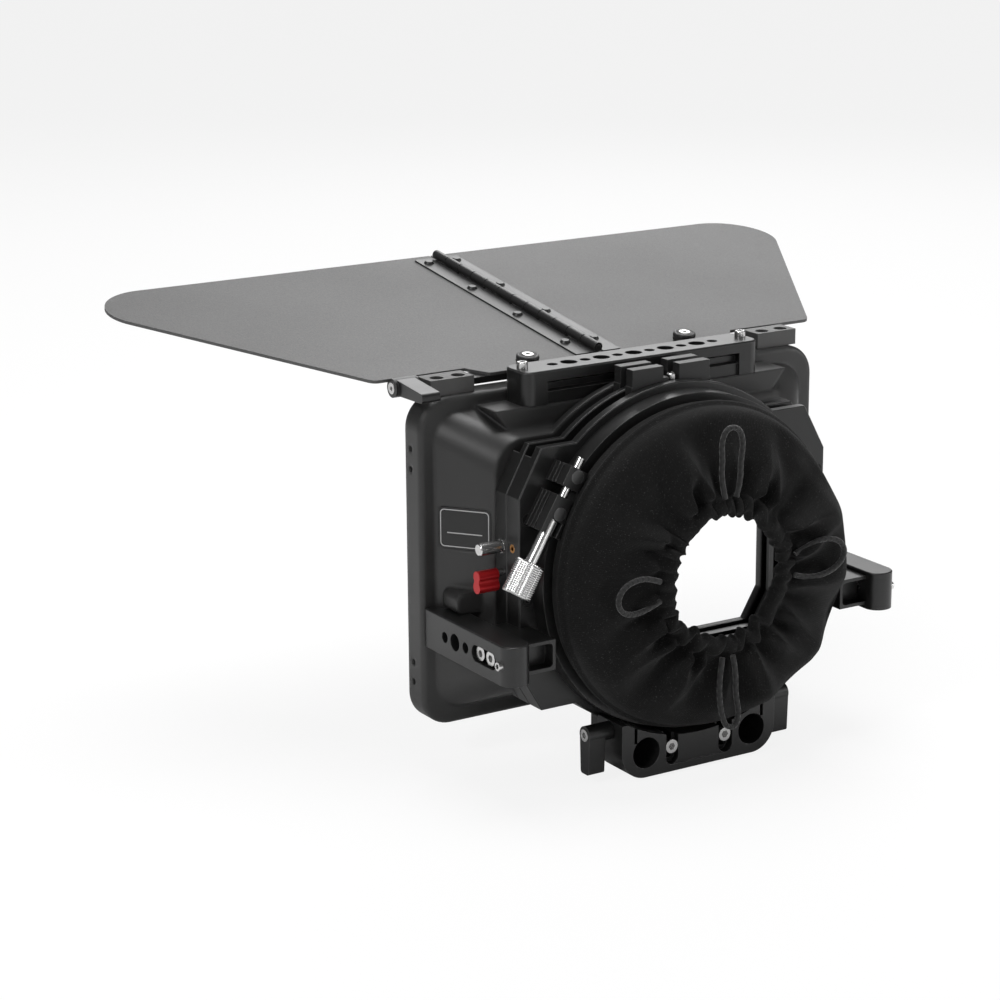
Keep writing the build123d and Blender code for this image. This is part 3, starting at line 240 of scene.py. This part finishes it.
# Every hard finish: colour, colour where edges are rubbed, roughness range, grain size and depth, edge radius
finishes = {
    "hood_polymer": {
        "colour": grey(0.022, 0.01), "rubbed": grey(0.032), "metal": 0.0, "rough": (0.36, 0.48),
        "grain": 1400, "depth": 0.10, "edge": 2.6 * mm, "dust": 0.004},
    "badge": {
        "colour": grey(0.006), "rubbed": grey(0.02), "metal": 0.0, "rough": (0.28, 0.4),
        "grain": 900, "depth": 0.05, "edge": 0.3 * mm, "dust": 0.0},
    "tray_polymer": {
        "colour": grey(0.014), "rubbed": grey(0.05), "metal": 0.0, "rough": (0.4, 0.55),
        "grain": 1500, "depth": 0.1, "edge": 0.4 * mm, "dust": 0.004},
    "donut_polymer": {
        "colour": grey(0.014), "rubbed": grey(0.04), "metal": 0.0, "rough": (0.45, 0.6),
        "grain": 1500, "depth": 0.1, "edge": 0.4 * mm, "dust": 0.004},
    "anodised_black": {
        "colour": grey(0.010), "rubbed": grey(0.11), "metal": 0.0, "rough": (0.26, 0.4),
        "grain": 2600, "depth": 0.08, "edge": 0.45 * mm, "dust": 0.003},
    "hinge_black": {
        "colour": grey(0.016), "rubbed": grey(0.12), "metal": 0.0, "rough": (0.3, 0.42),
        "grain": 1800, "depth": 0.08, "edge": 0.3 * mm, "dust": 0.004},
    "flag_coating": {
        "colour": grey(0.105, 0.006), "rubbed": grey(0.2), "metal": 0.0, "rough": (0.5, 0.62),
        "grain": 1100, "depth": 0.45, "edge": 0.25 * mm, "dust": 0.03},
    "block_grey": {
        "colour": grey(0.07, 0.01), "rubbed": grey(0.2), "metal": 0.25, "rough": (0.42, 0.6),
        "grain": 1500, "depth": 0.25, "edge": 0.4 * mm, "dust": 0.03},
    "black_screw": {
        "colour": grey(0.012), "rubbed": grey(0.12), "metal": 0.3, "rough": (0.25, 0.4),
        "grain": 2000, "depth": 0.08, "edge": 0.25 * mm, "dust": 0.0},
    "steel": {
        "colour": grey(0.62, 0.006), "rubbed": grey(0.75), "metal": 1.0, "rough": (0.18, 0.32),
        "grain": 2400, "depth": 0.1, "edge": 0.25 * mm, "dust": 0.0},
    "barrel_steel": {
        "colour": grey(0.16), "rubbed": grey(0.4), "metal": 1.0, "rough": (0.3, 0.42),
        "grain": 2400, "depth": 0.1, "edge": 0.3 * mm, "dust": 0.0},
    "red_anodised": {
        "colour": (0.46, 0.012, 0.016, 1), "rubbed": (0.7, 0.09, 0.08, 1), "metal": 0.55,
        "rough": (0.25, 0.38), "grain": 2400, "depth": 0.1, "edge": 0.35 * mm, "dust": 0.0},
    "brass": {
        "colour": (0.55, 0.27, 0.09, 1), "rubbed": (0.7, 0.4, 0.16, 1), "metal": 1.0,
        "rough": (0.25, 0.4), "grain": 2400, "depth": 0.1, "edge": 0.2 * mm, "dust": 0.0},
    "elastic": {
        "colour": grey(0.012), "rubbed": grey(0.03), "metal": 0.0, "rough": (0.6, 0.75),
        "grain": 2400, "depth": 0.3, "edge": 0.2 * mm, "dust": 0.0},
}


def hardFinish(name, look):
    g = Graph(name, {"Metallic": look["metal"]})
    place = g.coords()
    rounded = g.node("ShaderNodeBevel", {"samples": 4}, {"Radius": look["edge"]})
    flat = g.node("ShaderNodeNewGeometry", out="Normal")
    facing = g.node("ShaderNodeVectorMath", {"operation": "DOT_PRODUCT"}, {0: rounded, 1: flat}, out=1)
    patches = g.ramp(g.noise(place, 160, 4), ((0.42, 0.0), (0.62, 1.0)))
    onEdge = g.ramp(1.0 - facing, ((0.015, 0.0), (0.12, 1.0)))
    worn = onEdge * (0.35 + patches * 0.65)
    cloudy = g.noise(place, 28, 5, 0.6)
    grain = g.noise(place, look["grain"], 2)
    dusty = g.ramp(cloudy, ((0.4, 0.0), (0.75, 1.0))) * look["dust"]
    base = g.blend(dusty, look["colour"], grey(0.7))
    g.feed("Base Color", g.blend(worn, base, look["rubbed"]))
    low, high = look["rough"]
    g.feed("Roughness", low + cloudy * (high - low) + worn * -0.06)
    g.feed("Normal", g.bump(grain, look["depth"], 0.15 * mm, rounded))
    return g.material


def flagFinish(name, look):
    # a sprayed speckle: fine light grains on a mid grey
    g = Graph(name, {"Metallic": look["metal"]})
    place = g.coords()
    speckle = g.noise(place, look["grain"], 3, 0.7)
    patches = g.noise(place, 9, 5, 0.6)
    light = g.ramp(speckle, ((0.35, 0.0), (0.7, 1.0)))
    base = g.blend(light, grey(0.062, 0.006), grey(0.098, 0.006))
    g.feed("Base Color", g.blend(patches * 0.25, base, grey(0.068)))
    low, high = look["rough"]
    g.feed("Roughness", low + patches * (high - low))
    g.feed("Normal", g.bump(speckle, look["depth"], 0.25 * mm))
    return g.material


def clothFinish(name):
    # plain woven cotton: two thread directions in the cloth's own UV map, and lint
    g = Graph(name, {"Sheen Weight": 0.05, "Sheen Roughness": 0.5, "Specular IOR Level": 0.12})
    uv = g.coords("UV")
    place = g.coords()
    waves = [
        g.node("ShaderNodeTexWave", {"wave_type": "BANDS", "bands_direction": axis}, {
            "Vector": uv, "Scale": scale, "Distortion": 0.6, "Detail": 1.0})
        for axis, scale in (("X", 150.0), ("Y", 42.0))]
    weave = waves[0] * 0.5 + waves[1] * 0.5
    fuzz = g.noise(place, 900, 3)
    patches = g.noise(place, 34, 5, 0.62)
    lint = g.ramp(g.noise(place, 1900, 2), ((0.65, 0.0), (0.71, 1.0)))
    base = g.blend(patches, grey(0.004, 0.01), grey(0.009, 0.01))
    base = g.blend(weave * 0.3, base, grey(0.016))
    g.feed("Base Color", g.blend(lint * 0.35, base, grey(0.16)))
    g.feed("Roughness", 0.82 + patches * 0.12)
    g.feed("Normal", g.bump(weave * 0.6 + fuzz * 0.8, 0.8, 0.3 * mm))
    return g.material


def cordFinish(name):
    # a round braid: two sets of strands that cross, seen as a slanted pattern round the cord
    g = Graph(name, {"Sheen Weight": 0.25, "Specular IOR Level": 0.3})
    uv = g.coords("UV")
    place = g.coords()
    strands = [
        g.node("ShaderNodeTexWave", {"wave_type": "BANDS", "bands_direction": "DIAGONAL"}, {
            "Vector": g.node("ShaderNodeMapping", None, {"Vector": uv, "Scale": (along, around, 1)}),
            "Scale": 1.0})
        for along, around in ((12.0, 2.0), (12.0, -2.0))]
    braid = g.node("ShaderNodeMath", {"operation": "MAXIMUM"}, {0: strands[0], 1: strands[1]})
    fuzz = g.noise(place, 1500, 3)
    base = g.blend(braid, grey(0.004), grey(0.015))
    g.feed("Base Color", g.blend(fuzz * 0.4, base, grey(0.018)))
    g.feed("Roughness", 0.62 + fuzz * 0.2)
    g.feed("Normal", g.bump(braid + fuzz * 0.4, 0.7, 0.25 * mm))
    return g.material


def makeFinishes():
    made = {name: hardFinish(name, look) for name, look in finishes.items() if name != "flag_coating"}
    made["flag_coating"] = flagFinish("flag_coating", finishes["flag_coating"])
    made["donut_cloth"] = clothFinish("donut_cloth")
    made["cord"] = cordFinish("cord")
    made["badgeLines"] = hardFinish("badgeLines", dict(finishes["badge"], colour=grey(0.5), rubbed=grey(0.6)))
    return made


def startFresh():
    if bpy.context.mode != "OBJECT":
        ops.object.mode_set(mode="OBJECT")
    ops.object.select_all(action="DESELECT")


def dress(piece, name, slot, body, material=None):
    piece.name = name
    piece.data.name = name
    piece.data.materials.clear()
    piece.data.materials.append(material or paints[slot])
    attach(piece, body)
    return piece


def settle(piece):
    # the piece's place goes into its mesh, and its faces point outwards
    startFresh()
    piece.select_set(True)
    bpy.context.view_layer.objects.active = piece
    ops.object.transform_apply(location=True, rotation=True, scale=True)
    ops.object.mode_set(mode="EDIT")
    ops.mesh.select_all(action="SELECT")
    ops.mesh.remove_doubles(threshold=1e-6)
    ops.mesh.normals_make_consistent(inside=False)
    ops.object.mode_set(mode="OBJECT")


def lathe(profile, steps, origin, axis):
    # a profile of (radius, height) spun round axis at origin
    startFresh()
    ops.mesh.primitive_plane_add(size=mm)
    piece = bpy.context.object
    ops.object.mode_set(mode="EDIT")
    ops.mesh.select_mode(type="VERT")
    ops.mesh.select_all(action="SELECT")
    ops.mesh.merge(type="CENTER")
    first = profile[0]
    ops.transform.translate(value=(first[0], 0, first[1]))
    for before, after in zip(profile, profile[1:]):
        ops.mesh.extrude_vertices_move(
            TRANSFORM_OT_translate={"value": (after[0] - before[0], 0, after[1] - before[1])})
    ops.mesh.select_all(action="SELECT")
    ops.mesh.spin(steps=steps, angle=2 * math.pi, center=(0, 0, 0), axis=(0, 0, 1))
    ops.object.mode_set(mode="OBJECT")
    turn = Vector(axis).to_track_quat("Z", "Y").to_matrix()
    piece.matrix_world = Matrix.Translation(origin) @ turn.to_4x4()
    settle(piece)
    return piece


cordWidth = 2.6 * mm
hemOuter = 37.6
loops = {   # direction across the hem, then (outwards, sideways, Y) in mm, and the loop's length
    "top": {"out": (0, 1), "length": 72.6, "points": (
        (hemOuter, -3.5, -39.8), (45, -5.6, -40.0), (54, -5.0, -40.6), (63, -6.0, -41.2),
        (70, -3.4, -41.4), (71, 3.0, -41.4), (65, 6.2, -41.2), (56, 5.0, -40.6),
        (47, 5.2, -40.0), (hemOuter, 2.6, -39.8))},
    "right": {"out": (1, 0), "length": 64.6, "points": (
        (hemOuter, -5.0, -39.8), (45, -7.4, -40.0), (54, -7.2, -40.6), (62, -4.0, -41.2),
        (66, 2.0, -41.4), (63, 8.0, -41.2), (55, 10.4, -40.6), (46, 8.6, -40.0),
        (hemOuter, 5.2, -39.8))},
    "bottom": {"out": (0, -1), "length": 73.2, "points": (
        (hemOuter, -2.8, -39.8), (46, -4.2, -40.0), (55, -5.0, -40.6), (64, -4.0, -41.2),
        (71, -1.6, -41.4), (72, 4.2, -41.4), (65, 6.0, -41.2), (56, 4.2, -40.6),
        (46, 4.8, -40.0), (hemOuter, 3.0, -39.8))},
    "left": {"out": (-1, 0), "length": 56.5, "points": (
        (hemOuter, -4.4, -39.8), (44, -7.2, -40.0), (52, -7.6, -40.6), (59, -5.0, -41.2),
        (62, 1.0, -41.4), (59, 6.6, -41.2), (52, 8.4, -40.6), (44, 7.0, -40.0),
        (hemOuter, 4.6, -39.8))},
}


def makeLoops():
    for name, loop in loops.items():
        outX, outZ = loop["out"]
        route = [
            Vector((u * outX - v * outZ, y, u * outZ + v * outX)) * mm for u, v, y in loop["points"]]
        data = bpy.data.curves.new(f"pullLoop_{name}", "CURVE")
        data.dimensions = "3D"
        data.resolution_u = 8
        data.bevel_depth = cordWidth / 2
        data.bevel_resolution = 4
        data.use_fill_caps = True
        spline = data.splines.new("NURBS")
        spline.points.add(len(route) - 1)
        for point, place in zip(spline.points, route):
            point.co = (*place, 1)
        spline.order_u = 3
        spline.use_endpoint_u = True
        cord = bpy.data.objects.new(f"pullLoop_{name}", data)
        bpy.context.scene.collection.objects.link(cord)
        dress(cord, f"pullLoop_{name}", "cord", "box")
        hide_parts(f"pull_loop_{name}")


cloth = {
    "rings": 64,
    "around": 480,
    "thickness": 0.7 * mm,
    "band": 76.0,
    "profile": (   # (radius, Y) in mm from the band's front edge round to the inside of the hem
        (72.2, -8.6), (75.4, -8.5), (75.8, -9.6), (75.9, -14.2), (76.4, -15.2), (77.6, -15.9),
        (77.5, -17.3), (76.3, -17.6), (75.4, -18.6), (75.2, -21.5), (73.4, -25.6), (69.0, -28.6),
        (60.0, -31.4), (50.0, -33.8), (42.6, -35.2), (39.0, -35.6), (37.4, -35.8), (36.0, -38.6),
        (33.0, -40.8), (30.0, -40.4), (28.4, -38.0), (28.8, -34.8), (31.0, -33.2), (34.4, -33.0)),
    # folds: (angle in degrees from +X towards +Z, height in mm, radius where it ends, lean)
    "folds": (
        (6, 3.6, 62, 0.10), (27, 4.4, 66, -0.12), (49, 3.2, 58, 0.16), (66, 4.6, 60, -0.06),
        (84, 2.6, 54, 0.0), (103, 3.4, 57, 0.10), (122, 4.4, 60, -0.20), (146, 3.2, 56, 0.16),
        (166, 2.4, 52, 0.0), (186, 3.0, 55, 0.08), (205, 4.4, 63, 0.14), (221, 3.6, 66, -0.06),
        (238, 4.6, 70, 0.12), (252, 3.6, 60, -0.10), (272, 1.8, 54, 0.0), (290, 4.0, 70, 0.06),
        (308, 4.8, 64, 0.12), (327, 4.0, 70, -0.08), (346, 3.4, 62, 0.06)),
    # dents in the puffed face: (angle, radius, depth, reach along the rim, reach across)
    "dents": (
        (58, 62, 3.4, 10, 8), (35, 57, 3.0, 9, 9), (5, 60, 2.6, 8, 7), (138, 65, 1.8, 12, 5),
        (98, 63, 1.6, 14, 6), (180, 60, 1.4, 12, 7), (214, 58, 2.6, 8, 10), (246, 60, 2.8, 7, 10),
        (283, 57, 3.0, 8, 9), (318, 59, 2.8, 8, 9), (338, 66, 2.2, 9, 6)),
    "foldGain": 2.1,
    "dentGain": 1.7,
}


def smoothLine(points, count):
    # evenly spaced places on a smooth curve through the points
    data = bpy.data.curves.new("profileLine", "CURVE")
    data.dimensions = "3D"
    data.resolution_u = 12
    spline = data.splines.new("NURBS")
    spline.points.add(len(points) - 1)
    for point, (radius, y) in zip(spline.points, points):
        point.co = (radius, y, 0, 1)
    spline.order_u = 3
    spline.use_endpoint_u = True
    holder = bpy.data.objects.new("profileLine", data)
    bpy.context.scene.collection.objects.link(holder)
    line = bpy.data.meshes.new_from_object(holder)
    places = [v.co.xy.copy() for v in line.vertices]
    bpy.data.objects.remove(holder)
    runs = [0.0]
    for before, after in zip(places, places[1:]):
        runs.append(runs[-1] + (after - before).length)
    even = []
    at = 0
    for i in range(count):
        want = runs[-1] * i / (count - 1)
        while at < len(runs) - 2 and runs[at + 1] < want:
            at += 1
        share = (want - runs[at]) / (runs[at + 1] - runs[at])
        even.append(places[at].lerp(places[at + 1], share))
    return even, runs[-1]


def bell(x, centre, width):
    return math.exp(-((x - centre) / width) ** 2)


def rise(x, low, high):
    t = min(1.0, max(0.0, (x - low) / (high - low)))
    return t * t * (3 - 2 * t)


def makeCloth():
    luck = random.Random(7)
    profile, profileLength = smoothLine(cloth["profile"], cloth["rings"])
    around = cloth["around"]
    startFresh()
    ops.mesh.primitive_grid_add(x_subdivisions=around, y_subdivisions=cloth["rings"] - 1, size=2)
    piece = bpy.context.object
    drift = [(k, luck.uniform(-1, 1) * 0.5 / k, luck.uniform(0, 6.28)) for k in range(1, 10)]
    soft = [(k, luck.uniform(0.5, 1), luck.uniform(0, 6.28)) for k in (3, 4, 5, 7)]
    mesh = piece.data
    for vertex in mesh.vertices:
        angle = (vertex.co.x + 1) * math.pi
        ring = round((vertex.co.y + 1) / 2 * (cloth["rings"] - 1))
        radius, y = profile[ring]
        along = ring / (cloth["rings"] - 1)
        warped = angle + 0.55 * sum(a * math.sin(k * angle + p) for k, a, p in drift)
        crimp = 0.4 * math.sin(25 * angle + 3 * math.sin(2 * angle))
        pleat = abs(math.sin(13.5 * warped)) ** 0.7 - 0.6 + crimp
        pleat *= 0.75 + 0.35 * math.sin(5 * angle + 1) + 0.2 * math.sin(11 * angle)
        lazy = sum(a * math.sin(k * angle + p) for k, a, p in soft)
        onFace = rise(along, 0.2, 0.34) * (1 - rise(along, 0.7, 0.78))
        tube = rise(along, 0.7, 0.8)
        belly = bell(along, 0.36, 0.13)
        # the right and lower sides hang out and back, the left side is drawn flat
        sag = max(0.0, math.cos(angle + 0.5))
        side = rise(abs(((angle - 2.6 + math.pi) % (2 * math.pi)) - math.pi), 0.9, 2.2)
        push = tube * (2.0 * pleat + 0.5 * lazy) + belly * (0.8 + 8.0 * sag ** 3 + 0.5 * lazy)
        lift = bell(radius, 38.0, 6.0) * rise(along, 0.5, 0.6) * 2.3 * pleat + onFace * 0.4 * lazy
        lift += bell(radius, 58, 13) * rise(along, 0.3, 0.42) * (2.6 * side + 2.6 * sag)
        for degrees, height, reach, lean in cloth["folds"]:
            centre = math.radians(degrees) + lean * (radius - 38) / 24
            off = (angle - centre + math.pi) % (2 * math.pi) - math.pi
            width = 2.3 + 0.17 * max(0.0, radius - 36)
            run = off * max(radius, 30) / width
            if abs(run) < 4:
                crest = math.exp(-abs(run) ** 1.5) - 0.32 * math.exp(-(abs(run) - 1.9) ** 2)
                fade = (1 - rise(radius, 42, reach + 15)) * (0.45 + 0.55 * rise(radius, 36, 42))
                lift += onFace * cloth["foldGain"] * height * crest * fade
                push -= tube * 0.35 * height * crest * bell(along, 0.78, 0.08)
        for degrees, where, depth, reach, across in cloth["dents"]:
            off = (angle - math.radians(degrees) + math.pi) % (2 * math.pi) - math.pi
            sink = cloth["dentGain"] * depth * bell(off * radius, 0, reach) * bell(radius, where, across)
            lift -= rise(along, 0.22, 0.34) * sink
        radius += push
        y -= lift
        vertex.co = Vector((radius * math.cos(angle), y, radius * math.sin(angle))) * mm
    startFresh()
    piece.select_set(True)
    bpy.context.view_layer.objects.active = piece
    ops.object.mode_set(mode="EDIT")
    ops.mesh.select_all(action="SELECT")
    ops.mesh.remove_doubles(threshold=1e-5)
    ops.mesh.normals_make_consistent(inside=False)
    ops.object.mode_set(mode="OBJECT")
    mesh.shade_smooth()
    wall = piece.modifiers.new("wall", "SOLIDIFY")
    wall.thickness = cloth["thickness"]
    wall.offset = -1
    startFresh()
    piece.select_set(True)
    bpy.context.view_layer.objects.active = piece
    ops.object.modifier_apply(modifier="wall")
    dress(piece, "gatheredCloth", "donut_cloth", "box")
    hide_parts("donut_fabric", "donut_elastic")
    profileLength * mm
    return piece


knobs = {   # knurled knobs: the joint they turn on, steps round, rows, height of the knurl
    "clamp_knob": {"joint": "clamp_turn", "slot": "steel", "body": "clamp_screw",
                   "steps": 40, "rows": 15, "knurl": 0.32 * mm, "edge": 0.7 * mm, "dish": 0.0},
    **{f"thumb_knob_{side}": {
        "joint": f"thumbscrew_{side}_turn", "slot": "anodised_black", "body": f"thumbscrew_{side}",
        "steps": 34, "rows": 2, "knurl": 0.3 * mm, "edge": 0.6 * mm, "dish": 2.8 * mm}
        for side in ("left", "right")},
}
dishDepth = 1.8 * mm


def makeKnobs():
    joints = {joint["name"]: joint for joint in frame["record"]["behaviour"]["joints"]}
    for name, knob in knobs.items():
        joint = joints[knob["joint"]]
        place = Vector(joint["pos_m"])
        axis = Vector(joint["axis"]).normalized()
        heights = [(v.co - place).dot(axis) for v in nodes[name].data.vertices]
        radii = [(v.co - place).cross(axis).length for v in nodes[name].data.vertices]
        low, high, wide = min(heights), max(heights), max(radii)
        outer = wide - knob["knurl"]
        edge = knob["edge"]
        profile = [(0.0, low), (outer - edge, low), (outer, low + edge)]
        step = (high - low - 2 * edge) / knob["rows"]
        profile += [(outer, low + edge + step * i) for i in range(1, knob["rows"] + 1)]
        profile.append((outer - edge, high))
        if knob["dish"]:
            profile += [(knob["dish"], high), (knob["dish"], high - dishDepth), (0.0, high - dishDepth)]
        else:
            profile.append((0.0, high))
        piece = lathe(profile, knob["steps"], place, axis)
        for face in piece.data.polygons:
            away = face.center - place
            away -= axis * away.dot(axis)
            face.select = away.length > outer * 0.98 and abs(face.normal.dot(axis)) < 0.1
        ops.object.mode_set(mode="EDIT")
        ops.mesh.select_mode(type="FACE")
        ops.mesh.poke(offset=knob["knurl"])
        ops.object.mode_set(mode="OBJECT")
        dress(piece, f"knurled_{name}", knob["slot"], knob["body"])
        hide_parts(name)


badge = {
    "inset": 0.9 * mm, "line": 0.45 * mm, "height": 0.12 * mm, "corner": 2.0 * mm,
    "rule": (17 * mm, 0.5 * mm), "ruleDrop": 2.2 * mm}


def makeBadgeLines():
    # a thin light border and one rule, in the plane of the badge's face
    plate = nodes["badge_plate"].data
    outward = max(plate.polygons, key=lambda face: face.area * (face.normal.x < 0)).normal.copy()
    level = max(v.co.dot(outward) for v in plate.vertices)
    rim = [v.co for v in plate.vertices if v.co.dot(outward) > level - 0.05 * mm]
    along = Vector((0, 0, 1)).cross(outward).normalized()
    wide = max(c.dot(along) for c in rim) - min(c.dot(along) for c in rim)
    tall = max(c.z for c in rim) - min(c.z for c in rim)
    middlePlace = sum(rim, Vector()) / len(rim)
    turn = Matrix((along, Vector((0, 0, 1)), outward)).transposed().to_4x4()
    for name, width, height, drop in (
            ("badgeBorder", wide - 2 * badge["inset"], tall - 2 * badge["inset"], 0.0),
            ("badgeRule", *badge["rule"], badge["ruleDrop"])):
        startFresh()
        ops.mesh.primitive_plane_add(size=1)
        piece = bpy.context.object
        ops.object.mode_set(mode="EDIT")
        ops.mesh.select_all(action="SELECT")
        ops.transform.resize(value=(width, height, 1))
        if name == "badgeBorder":
            ops.mesh.bevel(offset=badge["corner"], segments=6, affect="VERTICES")
            ops.mesh.inset(thickness=badge["line"])
            ops.mesh.delete(type="FACE")
            ops.mesh.select_all(action="SELECT")
        ops.mesh.extrude_region_move(TRANSFORM_OT_translate={"value": (0, 0, badge["height"])})
        ops.object.mode_set(mode="OBJECT")
        piece.matrix_world = Matrix.Translation(middlePlace - Vector((0, 0, drop))) @ turn
        settle(piece)
        dress(piece, name, "badge", "box", paints["badgeLines"])


def paintNodes():
    for row in frame["record"]["subparts"]:
        node = nodes[row["node"]]
        node.data.materials.clear()
        node.data.materials.append(paints[row["material_slot"]])


startFresh()
makeCamera()
makeLamps()
makeSky()
makeFloor()
bpy.context.scene.view_settings.view_transform = "Standard"
print("camera, lamps and floor are in place")
paints = makeFinishes()
paintNodes()
print("finishes are on the frame")
makeLoops()
print("pull loops are laid")
makeCloth()
print("cloth is gathered")
makeKnobs()
makeBadgeLines()
print("knobs and badge are finished")
